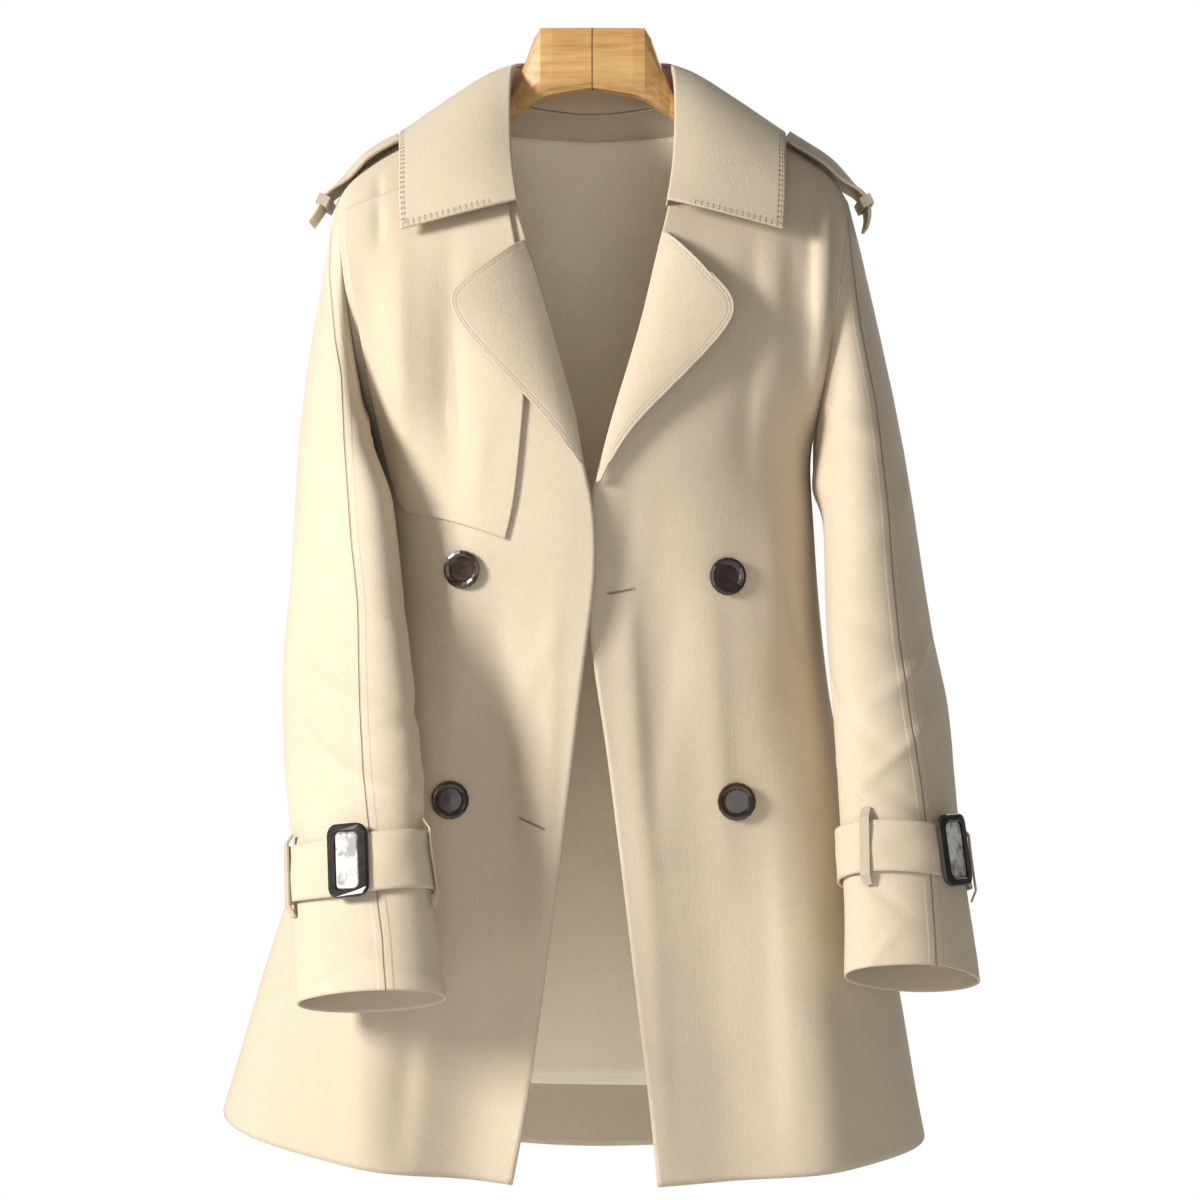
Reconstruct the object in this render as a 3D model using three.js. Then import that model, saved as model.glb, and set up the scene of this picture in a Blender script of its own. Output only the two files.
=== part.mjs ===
import * as THREE from "three";
import { mergeVertices } from "three/addons/utils/BufferGeometryUtils.js";

// A short double-breasted trench coat, worn open, on a wooden hanger with broad shoulders.
// Millimetres, +Z up, the coat's front faces -Y. The origin is the middle of the hanger's flat top.
// Left and right are the wearer's: the right front is at -X and lies over the left one.

const RIGHT = -1;
const LEFT = 1;
const CLOTH = 1.6;
const DOUBLED_CLOTH = 2.6;
const SEAM_GAP = 0.3;

const CLOTH_COLOUR = "#cdb897";
const LINING_COLOUR = "#d6c3a6";
const BUTTON_COLOUR = "#33241b";
const BUCKLE_COLOUR = "#1d1916";
const BAR_COLOUR = "#c9c8c2";
const WOOD_COLOUR = "#c78f4a";

const coat = new THREE.Group();

const cloth = new THREE.MeshStandardMaterial({ color: CLOTH_COLOUR, roughness: 0.85, metalness: 0 });
const lining = new THREE.MeshStandardMaterial({ color: LINING_COLOUR, roughness: 0.7, metalness: 0 });
const horn = new THREE.MeshStandardMaterial({ color: BUTTON_COLOUR, roughness: 0.3, metalness: 0 });
const buckleBlack = new THREE.MeshStandardMaterial({ color: BUCKLE_COLOUR, roughness: 0.35, metalness: 0 });
const pearl = new THREE.MeshStandardMaterial({ color: BAR_COLOUR, roughness: 0.25, metalness: 0.2 });
const wood = new THREE.MeshStandardMaterial({ color: WOOD_COLOUR, roughness: 0.45, metalness: 0 });

function add(name, geometry, material) {
  const mesh = new THREE.Mesh(geometry, material);
  mesh.name = name;
  coat.add(mesh);
  return mesh;
}

const vec = (x, y, z) => new THREE.Vector3(x, y, z);
const mix = (a, b, t) => a + (b - a) * t;
const steps = (count, from = 0, to = 1) =>
  Array.from({ length: count + 1 }, (_, i) => mix(from, to, i / count));
const smooth = (from, to, x) => THREE.MathUtils.smoothstep(x, from, to);
const bell = (x, width) => Math.exp(-((x / width) ** 2));

// A value read from a table of rows at a place between them, on a smooth curve.
function along(table, column, place) {
  const last = table.length - 1;
  const i = Math.min(last - 1, Math.max(0, Math.floor(place * last)));
  const at = (k) => table[Math.min(last, Math.max(0, k))][column];
  const t = place * last - i;
  const [a, b, c, d] = [at(i - 1), at(i), at(i + 1), at(i + 2)];
  const cubic = (-a + 3 * b - 3 * c + d) * t ** 3 + (2 * a - 5 * b + 4 * c - d) * t ** 2;
  return 0.5 * (cubic + (c - a) * t + 2 * b);
}

// The place in a table whose rows rise in a column where that column has a value.
function placeOf(table, column, value) {
  let [low, high] = [0, 1];
  for (let i = 0; i < 30; i++) {
    const middle = (low + high) / 2;
    if (along(table, column, middle) < value) low = middle;
    else high = middle;
  }
  return low;
}

function rows(columns, ...values) {
  return values.map((row) => Object.fromEntries(columns.map((name, i) => [name, row[i]])));
}

// The triangles between two grids of points, one on each face of a cloth wall.
function wall(outer, inner, ring = false) {
  const count = outer[0].length;
  const index = [];
  const id = (face, i, j) => (face * outer.length + i) * count + (j % count);
  const quad = (a, b, c, d) => index.push(a, b, c, a, c, d);
  const across = ring ? count : count - 1;
  for (let j = 0; j < across; j++) {
    for (let i = 0; i + 1 < outer.length; i++) {
      quad(id(0, i, j), id(0, i, j + 1), id(0, i + 1, j + 1), id(0, i + 1, j));
      quad(id(1, i, j), id(1, i + 1, j), id(1, i + 1, j + 1), id(1, i, j + 1));
    }
    const top = outer.length - 1;
    quad(id(0, 0, j + 1), id(0, 0, j), id(1, 0, j), id(1, 0, j + 1));
    quad(id(0, top, j), id(0, top, j + 1), id(1, top, j + 1), id(1, top, j));
  }
  for (let i = 0; i + 1 < outer.length && !ring; i++) {
    const end = count - 1;
    quad(id(0, i, 0), id(0, i + 1, 0), id(1, i + 1, 0), id(1, i, 0));
    quad(id(0, i + 1, end), id(0, i, end), id(1, i, end), id(1, i + 1, end));
  }
  return closed([...outer.flat(), ...inner.flat()], index);
}

// A geometry from points and triangles, turned so that its faces point out.
function closed(points, index) {
  const volume = (a, b, c) => points[a].dot(points[b].clone().cross(points[c]));
  let sum = 0;
  for (let i = 0; i < index.length; i += 3) sum += volume(index[i], index[i + 1], index[i + 2]);
  const facing = sum < 0 ? index.reverse() : index;
  const geometry = new THREE.BufferGeometry().setFromPoints(points);
  geometry.setIndex(facing);
  return geometry;
}

// A solid through closed rings of points, with a flat end at each side.
function solidThrough(rings) {
  const count = rings[0].length;
  const index = [];
  for (let i = 0; i + 1 < rings.length; i++) {
    for (let j = 0; j < count; j++) {
      const [a, b] = [i * count + j, i * count + ((j + 1) % count)];
      index.push(a, b, b + count, a, b + count, a + count);
    }
  }
  const last = (rings.length - 1) * count;
  for (let j = 1; j + 1 < count; j++) {
    index.push(0, j + 1, j, last, last + j, last + j + 1);
  }
  return closed(rings.flat(), index);
}

// A surface with an outward normal. point takes a share across s, a share along t, and a lift off it.
function surface(base, out, atSeam = (normal) => normal) {
  const NUDGE = 0.004;
  const normalAt = (s, t) => {
    const across = base(s + NUDGE, t).sub(base(s - NUDGE, t));
    const up = base(s, Math.min(1, t + NUDGE)).sub(base(s, Math.max(0, t - NUDGE)));
    return atSeam(across.cross(up).normalize().multiplyScalar(out), s, t).normalize();
  };
  const point = (s, t, lift = 0) => base(s, t).addScaledVector(normalAt(s, t), lift);
  return { point, normalAt };
}

function sheet(point, across, up, lift, thickness, ring = false) {
  const face = (height) => up.map((t) => across.map((s) => point(s, t, height(s, t))));
  return wall(face(lift), face((s, t) => lift(s, t) - thickness), ring);
}

// Body: rows from the hem to the shoulder seam, each round half of the coat. side is the side seam,
// then the armhole. edge is the front edge, then the roll line and the neckline. back is its middle.
const BODY = rows(
  ["sideZ", "rightX", "leftX", "sideY", "edgeZ", "rightEdge", "leftEdge", "edgeY", "backZ", "backY", "round"],
  [-821, 278, 250, 10, -852, -58, 47, -88, -858, 98, 1],
  [-775, 264, 241, 10, -790, -46.5, 41, -92, -790, 97, 1],
  [-712, 247, 231, 10, -718, -36.5, 32, -95, -718, 95, 1],
  [-645, 225, 212, 8, -648, -26.5, 24, -97, -648, 93, 1],
  [-580, 204, 194, 6, -582, -19, 16, -98, -582, 91, 1],
  [-515, 183, 180, 4, -516, -11, 7.5, -99, -516, 88, 1],
  [-465, 168, 173, 2, -466, -5, -0.5, -99, -466, 86, 1],
  [-410, 157, 168, 0, -410, 2.7, -4.5, -99, -410, 84, 1],
  [-360, 158, 165, 0, -362, 1, -2, -100, -362, 86, 1],
  [-332, 161, 163, 0, -338, -5, 3.5, -100, -335, 89, 1],
  [-305, 165, 165, 0, -300, -11, 13.5, -99, -300, 92, 1],
  [-270, 170, 170, 0, -262, -21, 25, -96, -265, 92, 0.85],
  [-235, 175, 175, 0, -228, -30, 35, -91, -225, 91, 0.7],
  [-205, 180, 180, 0, -198, -38.5, 42, -85, -190, 86, 0.6],
  [-180, 184, 184, 0, -170, -47, 48.5, -78, -160, 79, 0.5],
  [-160, 187, 187, 0, -140, -56, 56, -65, -130, 71, 0.4],
  [-146, 189, 189, 0, -106, -61.5, 61.5, -45, -104, 62, 0.3],
  [-136, 190, 190, 0, -74, -64.5, 64.5, -22, -80, 54, 0.2],
  [-130, 191, 191, 0, -50, -66, 66, 8, -58, 46, 0],
);
const ROW_COUNT = BODY.length - 1;
const UNDERARM = 10 / ROW_COUNT;
const CHEST = 14 / ROW_COUNT;
const SQUARENESS = 0.92;
const LAP = { depth: 6, from: -520, to: -280 };
const HEM_TILT = 10;

// The armhole is an oval in a leaning plane, the same on both sides.
const ARMHOLE = { midX: 178, midZ: -217.5, leanX: 13, halfY: 62, halfZ: 87.5 };
const armholeX = (z) => ARMHOLE.midX + (ARMHOLE.leanX * (z - ARMHOLE.midZ)) / ARMHOLE.halfZ;
const armholeY = (z) =>
  ARMHOLE.halfY * Math.sqrt(Math.max(0, 1 - ((z - ARMHOLE.midZ) / ARMHOLE.halfZ) ** 2));

function inArmholePlane(normal, side) {
  const across = vec(side * ARMHOLE.halfZ, 0, -ARMHOLE.leanX).normalize();
  return normal.addScaledVector(across, -normal.dot(across));
}

// The shoulder seam, from its tip at share 0 to the neck at share 1.
const SHOULDER = { tipX: 191, tipY: 0, tipZ: -130, neckX: 66, neckY: 8, neckZ: -50, arch: 14 };
const shoulderArch = (share) => SHOULDER.arch * Math.sin(Math.PI * Math.sqrt(share));

function shoulderSeam(side, share) {
  const { tipX, tipY, tipZ, neckX, neckY, neckZ } = SHOULDER;
  const z = mix(tipZ, neckZ, share) + shoulderArch(share);
  return vec(side * mix(tipX, neckX, share), mix(tipY, neckY, share), z);
}

// The cloth's outer boundary at a place up the body: the side seam, then the armhole.
// facing is -1 on a front and 1 on the back: each keeps half of the seam's gap.
function outerBoundary(side, place, facing) {
  const z = along(BODY, "sideZ", place);
  if (place <= UNDERARM) {
    const x = along(BODY, side === RIGHT ? "rightX" : "leftX", place);
    const tilt = -side * HEM_TILT * (1 - smooth(0, 0.3, place));
    return vec(side * x, along(BODY, "sideY", place) + (facing * SEAM_GAP) / 2, z + tilt);
  }
  return vec(side * armholeX(z), facing * Math.max(armholeY(z), SEAM_GAP / 2), z);
}

// Folds are soft ridges (+) and troughs (-) in the cloth, each on a line from its top to its foot.
// An open fold is deepest at the hem, another one in the middle of its line.
const FOLD_COLUMNS = ["topX", "topZ", "footX", "footZ", "width", "height", "open"];
const FOLDS = {
  front_right: rows(
    FOLD_COLUMNS,
    [-124, -400, -158, -852, 34, 13, 1],
    [-46, -250, -86, -852, 34, -16, 1],
    [-138, -165, -136, -400, 18, 6, 0],
    [-102, -175, -98, -400, 17, -5, 0],
    [-158, -140, -158, -300, 11, -4, 0],
  ),
  front_left: rows(
    FOLD_COLUMNS,
    [118, -400, 172, -852, 32, 13, 1],
    [70, -430, 98, -852, 26, -6, 1],
    [38, -290, 46, -570, 26, -9, 0],
    [128, -320, 132, -570, 22, 7, 0],
    [136, -140, 136, -310, 8, 3, 0],
    [149, -120, 148, -330, 9, -6, 0],
    [165, -125, 161, -300, 8, 5, 0],
  ),
  back: rows(
    FOLD_COLUMNS,
    [-96, -420, -150, -856, 30, 9, 1],
    [-36, -460, -62, -856, 26, -7, 1],
    [8, -440, 14, -856, 24, 8, 1],
    [64, -470, 84, -856, 28, -8, 1],
    [104, -400, 168, -856, 28, 9, 1],
    [-120, -170, -128, -400, 26, 5, 0],
    [122, -180, 118, -390, 24, 5, 0],
  ),
};

function foldHeight(folds, x, z, fromSeam) {
  const sum = folds.reduce((total, fold) => {
    const share = (z - fold.topZ) / (fold.footZ - fold.topZ);
    if (share <= 0 || share >= 1.1) return total;
    const line = mix(fold.topX, fold.footX, share);
    const swell = fold.open ? smooth(0, 0.6, share) : Math.sin(Math.PI * Math.min(1, share)) ** 2;
    return total + fold.height * swell * bell(x - line, fold.width);
  }, 0);
  return sum * smooth(0, 0.16, fromSeam);
}

// Half of a section: a quarter of a rounded oval from the outer boundary to the middle.
function sectionPoint(outer, inner, s, round) {
  const turn = (THREE.MathUtils.clamp(s, 0, 1) * Math.PI) / 2;
  const oval = vec(
    mix(inner.x, outer.x, Math.cos(turn) ** SQUARENESS),
    mix(outer.y, inner.y, Math.sin(turn) ** SQUARENESS),
    mix(outer.z, inner.z, s),
  );
  return outer.clone().lerp(inner, s).lerp(oval, round);
}

// A front: s runs from the side seam or armhole (0) to the front edge (1), t from hem to shoulder.
function frontBase(side, folds) {
  return (share, t) => {
    const s = THREE.MathUtils.clamp(share, 0, 1);
    const z = along(BODY, "edgeZ", t);
    const lapped = smooth(LAP.from, LAP.from + 60, z) * (1 - smooth(LAP.to - 40, LAP.to, z));
    const lap = side === RIGHT ? LAP.depth * lapped : 0;
    const x = along(BODY, side === RIGHT ? "rightEdge" : "leftEdge", t);
    const edge = vec(x, along(BODY, "edgeY", t) - lap, z);
    const point = sectionPoint(outerBoundary(side, t, -1), edge, s, along(BODY, "round", t));
    point.z += shoulderArch(s) * smooth(CHEST, 1, t);
    point.y -= foldHeight(folds, point.x, point.z, s) * (1 - smooth(0.9, 1, t));
    if (t === 1) {
      point.copy(shoulderSeam(side, s));
      point.y -= SEAM_GAP / 2;
    }
    return point;
  };
}

function backNeck(side, share) {
  const { neckX, neckY, neckZ } = SHOULDER;
  const middle = BODY[ROW_COUNT];
  const turn = (share * Math.PI) / 2;
  const y = mix(neckY, middle.backY, Math.sin(turn));
  return vec(side * neckX * Math.cos(turn), y, mix(neckZ, middle.backZ, share));
}

// The back: s runs from the right side seam (0) through the middle (0.5) to the left one (1).
const NECK_SHARE = 0.62;
function backBase(share, t) {
  const s = THREE.MathUtils.clamp(share, 0, 1);
  const side = s < 0.5 ? RIGHT : LEFT;
  const half = 1 - Math.abs(2 * s - 1);
  const place = Math.min(t, CHEST);
  const outer = outerBoundary(side, place, 1);
  const middle = vec(0, along(BODY, "backY", place), along(BODY, "backZ", place));
  const point = sectionPoint(outer, middle, half, mix(along(BODY, "round", place), 1, half));
  if (t > CHEST) {
    const climb = (t - CHEST) / (1 - CHEST);
    const shareUp = half / NECK_SHARE;
    const neckShare = (shareUp - 1) / (1 / NECK_SHARE - 1);
    const top = shareUp < 1 ? shoulderSeam(side, shareUp) : backNeck(side, neckShare);
    top.y += SEAM_GAP / 2;
    const turn = (climb * Math.PI) / 2;
    point.set(
      mix(point.x, top.x, climb),
      mix(top.y, point.y, Math.cos(turn)),
      mix(point.z, top.z, Math.sin(turn)),
    );
    if (half < 0.02) point.copy(outerBoundary(side, t, 1));
  }
  point.y += foldHeight(FOLDS.back, point.x, point.z, half) * (1 - smooth(0.9, 1, t));
  return point;
}

function seamNormal(normal, side, fromSeam, t, toNeck) {
  if (fromSeam === 0 && t <= UNDERARM) normal.y = 0;
  if (fromSeam === 0 && t > UNDERARM) inArmholePlane(normal, side);
  if (t === 1 && !toNeck) normal.y = 0;
  return normal;
}

const frontSurface = (side, folds) =>
  surface(frontBase(side, folds), -side, (normal, s, t) => seamNormal(normal, side, s, t, false));
const fronts = {
  [RIGHT]: frontSurface(RIGHT, FOLDS.front_right),
  [LEFT]: frontSurface(LEFT, FOLDS.front_left),
};
const back = surface(backBase, -1, (normal, s, t) => {
  const half = 1 - Math.abs(2 * s - 1);
  return seamNormal(normal, s < 0.5 ? RIGHT : LEFT, half, t, half > NECK_SHARE);
});

const FRONT_ACROSS = steps(13);
const FRONT_UP = steps(26);
const BACK_ACROSS = steps(20);
const BACK_UP = steps(24);
const flat = () => 0;
add("front_right", sheet(fronts[RIGHT].point, FRONT_ACROSS, FRONT_UP, flat, CLOTH), cloth);
add("front_left", sheet(fronts[LEFT].point, FRONT_ACROSS, FRONT_UP, flat, CLOTH), cloth);
add("back", sheet(back.point, BACK_ACROSS, BACK_UP, flat, CLOTH), cloth);

// The lining backs the inside of the back and stops short of its hem.
const LINING = { gap: 1.2, thickness: 1 };
const underBack = () => -CLOTH - LINING.gap;
add(
  "back_lining",
  sheet(back.point, BACK_ACROSS.slice(1, -1), BACK_UP.slice(1, -2), underBack, LINING.thickness),
  lining,
);

// Where a front lies under a point seen from the front: its share s across and t up.
function placeOn(side, x, z) {
  const { point } = fronts[side];
  let [s, t] = [0.5, 0.5];
  const search = (low, high, tooLow) => {
    for (let i = 0; i < 22; i++) {
      const middle = (low + high) / 2;
      if (tooLow(middle)) low = middle;
      else high = middle;
    }
    return (low + high) / 2;
  };
  for (let round = 0; round < 6; round++) {
    t = search(0, 0.995, (value) => point(s, value).z < z);
    s = search(0.01, 1, (value) => point(value, t).x * side > x * side);
  }
  return { s, t };
}

// Lapels: each row runs from the roll line to the free edge, from the gorge down to the break.
const LAPEL_COLUMNS = ["rollX", "rollZ", "edgeX", "edgeZ"];
const LAPELS = {
  [RIGHT]: rows(
    LAPEL_COLUMNS,
    [-49, -169, -91, -205],
    [-44, -181, -96, -210.5],
    [-39, -196, -97.5, -218.5],
    [-34, -213, -91.5, -229.5],
    [-29, -232, -80, -246],
    [-23, -253, -66, -263],
    [-16.5, -277, -49, -282],
    [-11, -299, -33, -301],
    [-7.5, -318, -19, -318],
    [-5, -333, -10, -331],
  ),
  [LEFT]: rows(
    LAPEL_COLUMNS,
    [50, -162, 90, -204],
    [46, -178, 97, -212],
    [41, -197, 100, -222],
    [37, -216, 96, -233.5],
    [32, -237, 84, -248.5],
    [26, -258, 68, -265.5],
    [18, -280, 48, -285.5],
    [12, -303, 29, -305],
    [6, -325, 15, -325.5],
    [1.5, -345, 7, -343],
  ),
};
const LAPEL_ROLL = { start: 0.4, rise: 5.2, reach: 6, belly: 2.5, [RIGHT]: 0.28, [LEFT]: 0.18 };

function lapel(side) {
  const table = LAPELS[side];
  const shares = steps(6);
  const face = (depth) =>
    steps(13).map((place) => {
      const at = (column) => along(table, column, place);
      const width = Math.hypot(at("edgeX") - at("rollX"), at("edgeZ") - at("rollZ"));
      return shares.map((share) => {
        const x = mix(at("rollX"), at("edgeX"), share);
        const z = mix(at("rollZ"), at("edgeZ"), share);
        const { s, t } = placeOn(side, x, z);
        const off = LAPEL_ROLL.rise * (1 - Math.exp((-share * width) / LAPEL_ROLL.reach));
        const belly = LAPEL_ROLL.belly * Math.sin(Math.PI * share) * Math.min(1, width / 40);
        const flare = LAPEL_ROLL[side] * Math.max(0, share * width - 5);
        return fronts[side].point(s, t, LAPEL_ROLL.start + off + belly + flare + DOUBLED_CLOTH - depth);
      });
    });
  return wall(face(0), face(DOUBLED_CLOTH));
}
add("lapel_right", lapel(RIGHT), cloth);
add("lapel_left", lapel(LEFT), cloth);

// The storm flap lies on the right front, from the shoulder down to a free lower edge.
const FLAP = rows(
  ["outerX", "outerZ", "innerX", "innerZ"],
  [-136, -364, -62, -385],
  [-144, -345, -56, -362],
  [-150, -322, -53, -335],
  [-156, -296, -50, -306],
  [-162, -268, -48, -276],
  [-168, -236, -49, -240],
  [-174, -206, -50, -204],
  [-179, -180, -55.5, -169],
  [-182, -160, -62.5, -135],
  [-181, -143, -69, -100],
);
const FLAP_LIFT = 1.6;
function flap() {
  const face = (lift) =>
    steps(12).map((place) => {
      const at = (column) => along(FLAP, column, place);
      return steps(9).map((share) => {
        const sag = place === 0 ? 2 * Math.sin(Math.PI * share) : 0;
        const z = mix(at("outerZ"), at("innerZ"), share) + sag;
        const { s, t } = placeOn(RIGHT, mix(at("outerX"), at("innerX"), share), z);
        return fronts[RIGHT].point(s, t, lift);
      });
    });
  return wall(face(FLAP_LIFT + CLOTH), face(FLAP_LIFT));
}
add("storm_flap", flap(), cloth);

// Collar: rows from the middle of the back to the gorge. The stand rises from the neckline to the
// fold, and the leaf turns down over it to its edge, with a belly in between.
const COLLAR = rows(
  ["foldX", "foldY", "foldZ", "edgeX", "edgeY", "edgeZ", "bellyY", "bellyZ"],
  [0, 45, -22, 0, 76, -106, 8, 8],
  [38, 36, -23, 78, 72, -103, 7, 9],
  [57, 18, -26, 128, 44, -90, 4, 10],
  [61, -9, -35, 142, -6, -79, 0, 5],
  [62, -38, -70, 141, -44, -100, -3, 4],
  [60, -62, -110, 140, -66, -132, -4, 2],
  [55, -78, -140, 138, -76, -161, -4, 0],
);
const GORGE_T = 14.7 / ROW_COUNT;
const SIDE_NECK = 0.4;
function neckline(side, half) {
  if (half < SIDE_NECK) return backNeck(side, 1 - half / SIDE_NECK);
  const t = mix(1, GORGE_T, (half - SIDE_NECK) / (1 - SIDE_NECK));
  return fronts[side].point(1, Math.min(t, 0.9999));
}
const halfOf = (s) => ({ side: s < 0.5 ? RIGHT : LEFT, half: Math.min(1, Math.abs(2 * s - 1)) });
function collarLine(name, s) {
  const { side, half } = halfOf(s);
  const at = (axis) => along(COLLAR, name + axis, half);
  return vec(side * at("X"), at("Y"), at("Z"));
}
const STAND = { inset: 1, thickness: 1.4, reach: 0.96, height: 0.98 };
const stand = surface((share, t) => {
  const s = 0.5 + (share - 0.5) * STAND.reach;
  const { side, half } = halfOf(s);
  const foot = neckline(side, half);
  const inwards = vec(-foot.x, -foot.y - 20, 0).setLength(STAND.inset);
  return foot.add(inwards).lerp(collarLine("fold", s), STAND.height * t);
}, -1);
const leaf = surface((s, t) => {
  const { half } = halfOf(s);
  const belly = Math.sin(Math.PI * t ** 0.75);
  const point = collarLine("fold", s).lerp(collarLine("edge", s), t);
  point.y += along(COLLAR, "bellyY", half) * belly;
  point.z += along(COLLAR, "bellyZ", half) * belly;
  return point;
}, 1);
const COLLAR_ACROSS = steps(24);
add("collar_stand", sheet(stand.point, COLLAR_ACROSS, steps(2), flat, STAND.thickness), cloth);
const overFold = () => SEAM_GAP + DOUBLED_CLOTH;
add("collar_leaf", sheet(leaf.point, COLLAR_ACROSS, steps(6), overFold, DOUBLED_CLOTH), cloth);

// Sleeves: rows from the armhole to the cuff. Each row is an oval with its middle, the half axis
// towards the outer side (out) and the half axis towards the front. x is away from the coat's middle.
const SLEEVE_COLUMNS = ["x", "y", "z", "outX", "outY", "outZ", "frontX", "frontY", "frontZ"];
const SLEEVES = {
  [RIGHT]: rows(
    SLEEVE_COLUMNS,
    [178, 0, -217.5, 13, 0, 87.5, 0, -62, 0],
    [182.5, -7, -245, 17.5, -2, 67, -6, -66, 3],
    [185.4, -20, -285, 23.6, -4, 46, -12, -66, 6],
    [185, -34, -325, 28, -9, 25, -20, -66, 9],
    [182.8, -48, -366, 27.2, -12, 6, -30, -65, 13],
    [181, -58, -422, 26, -17, 4, -36.5, -57, 12],
    [179, -74, -462, 25, -20, 4, -42, -53.5, 12],
    [175, -92, -504, 23, -22, 5, -45.5, -48, 12],
    [171, -109, -548, 21.5, -24, 6, -47, -42, 11],
    [166.5, -123, -591, 21, -24, 6, -45, -40, 11],
    [164, -131, -624, 20, -26, 7, -46.5, -36, 10],
    [160, -137, -668, 19, -30, 9, -49.5, -31.5, 9],
    [155, -142, -711, 16, -33, 11, -52, -25.5, 8],
  ),
  [LEFT]: rows(
    SLEEVE_COLUMNS,
    [178, 0, -217.5, 13, 0, 87.5, 0, -62, 0],
    [184, -3, -245, 19, 0, 67, -1, -64, 3],
    [190.6, -10, -287, 26.4, 0, 45, -2, -66, 6],
    [196, -18, -326, 33, -2, 24, -6, -68, 8],
    [204, -30, -366, 33, -5, 6, -11, -68, 10],
    [208, -42, -422, 35, -9, 4, -17, -64, 12],
    [211.5, -52, -462, 36, -12, 3, -21.5, -61, 12],
    [217, -62, -504, 36.5, -15, 3, -26.5, -57, 13],
    [220, -73, -548, 35, -17, 5, -28, -54, 13],
    [222, -85, -591, 34, -19, 6, -29.5, -51, 13],
    [224, -91, -624, 34, -21, 7, -31, -49, 13],
    [227, -98, -662, 34, -22, 7, -34, -46, 13],
    [229, -103, -700, 35, -23, 8, -37, -44, 14],
  ),
};
const SLEEVE_AROUND = 20;
const SLEEVE_DOWN = 24;

// The cloth is pressed to a ridge along the seam down the front of each sleeve, sharper on the left.
const RIDGE = { [RIGHT]: { top: 1.4, cuff: 0.5, height: 0.04 }, [LEFT]: { top: 1, cuff: 0.52, height: 0.13 } };
RIDGE.width = 0.42;
function ridge(side, turn, t) {
  const { top, cuff, height } = RIDGE[side];
  const from = mix(top, cuff, smooth(0.1, 0.9, t));
  return 1 + height * smooth(0.2, 0.6, t) * bell(turn - from, RIDGE.width);
}

function sleeveSurface(side) {
  const table = SLEEVES[side];
  const base = (s, t) => {
    const turn = 2 * Math.PI * s;
    const at = (name) => along(table, name, t);
    const [across, ahead] = [Math.cos(turn) * ridge(side, turn, t), Math.sin(turn) * ridge(side, turn, t)];
    const outwards = (axis) => at("out" + axis) * across + at("front" + axis) * ahead;
    const ring = (axis) => at(axis.toLowerCase()) + outwards(axis);
    const gap = SEAM_GAP * (1 - smooth(0, 0.1, t));
    return vec(side * (ring("X") + gap), ring("Y"), ring("Z"));
  };
  return surface(base, side, (normal, s, t) => (t === 0 ? inArmholePlane(normal, side) : normal));
}
const sleeves = { [RIGHT]: sleeveSurface(RIGHT), [LEFT]: sleeveSurface(LEFT) };
const AROUND = steps(SLEEVE_AROUND).slice(0, -1);
add("sleeve_right", sheet(sleeves[RIGHT].point, AROUND, steps(SLEEVE_DOWN), flat, CLOTH, true), cloth);
add("sleeve_left", sheet(sleeves[LEFT].point, AROUND, steps(SLEEVE_DOWN), flat, CLOTH, true), cloth);

// Sleeve straps: a band round each sleeve above the cuff, lower on the outer side.
const STRAP = { slant: 0.01, lift: 2.6, thickness: 2 };
STRAP[RIGHT] = { top: 0.77, foot: 0.862 };
STRAP[LEFT] = { top: 0.764, foot: 0.853 };
const slant = (s) => STRAP.slant * Math.max(0, Math.cos(2 * Math.PI * s)) ** 2;
const strapPoint = (side) => (s, t, lift) =>
  sleeves[side].point(s, mix(STRAP[side].foot, STRAP[side].top, t) + slant(s), lift);
const overSleeve = () => STRAP.lift + STRAP.thickness;
const sleeveStrap = (side) => sheet(strapPoint(side), AROUND, steps(2), overSleeve, STRAP.thickness, true);
add("sleeve_strap_right", sleeveStrap(RIGHT), cloth);
add("sleeve_strap_left", sleeveStrap(LEFT), cloth);

// The band's loops: narrow strips sewn above and below the band, passing over it.
const LOOP = { width: 0.024, reach: 0.02, thickness: 1.4, clear: 0.7 };
function sleeveLoop(side, around) {
  const rise = STRAP.lift + STRAP.thickness - LOOP.clear + 0.45;
  const lift = (s, t) => LOOP.clear + LOOP.thickness + rise * smooth(0, 0.12, t) * (1 - smooth(0.88, 1, t));
  const { top, foot } = STRAP[side];
  const place = (t) => mix(foot + LOOP.reach, top - LOOP.reach, t) + slant(around);
  const point = (s, t, height) => sleeves[side].point(around + (s - 0.5) * LOOP.width, place(t), height);
  const shares = [0, 0.05, 0.12, 0.32, 0.5, 0.68, 0.88, 0.95, 1];
  return sheet(point, [0, 1], shares, lift, LOOP.thickness);
}
add("sleeve_loop_right_outer", sleeveLoop(RIGHT, 0.88), cloth);
add("sleeve_loop_right_inner", sleeveLoop(RIGHT, 0.285), cloth);
add("sleeve_loop_left_outer", sleeveLoop(LEFT, 0.9), cloth);
add("sleeve_loop_left_inner", sleeveLoop(LEFT, 0.245), cloth);

// Buckles: a rounded frame on the front of each strap, with a pale bar in its window.
const BUCKLE = { width: 32, height: 51, round: 8, windowWidth: 18.8, windowHeight: 40, windowRound: 4.5 };
BUCKLE.depth = 3.2;
BUCKLE.bevel = 0.9;
BUCKLE.clear = 1.7;
BUCKLE.bend = 48;
const BAR = { width: 18, height: 39.2, round: 4, depth: 2.2, bevel: 0.7, clear: 1.1 };

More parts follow.
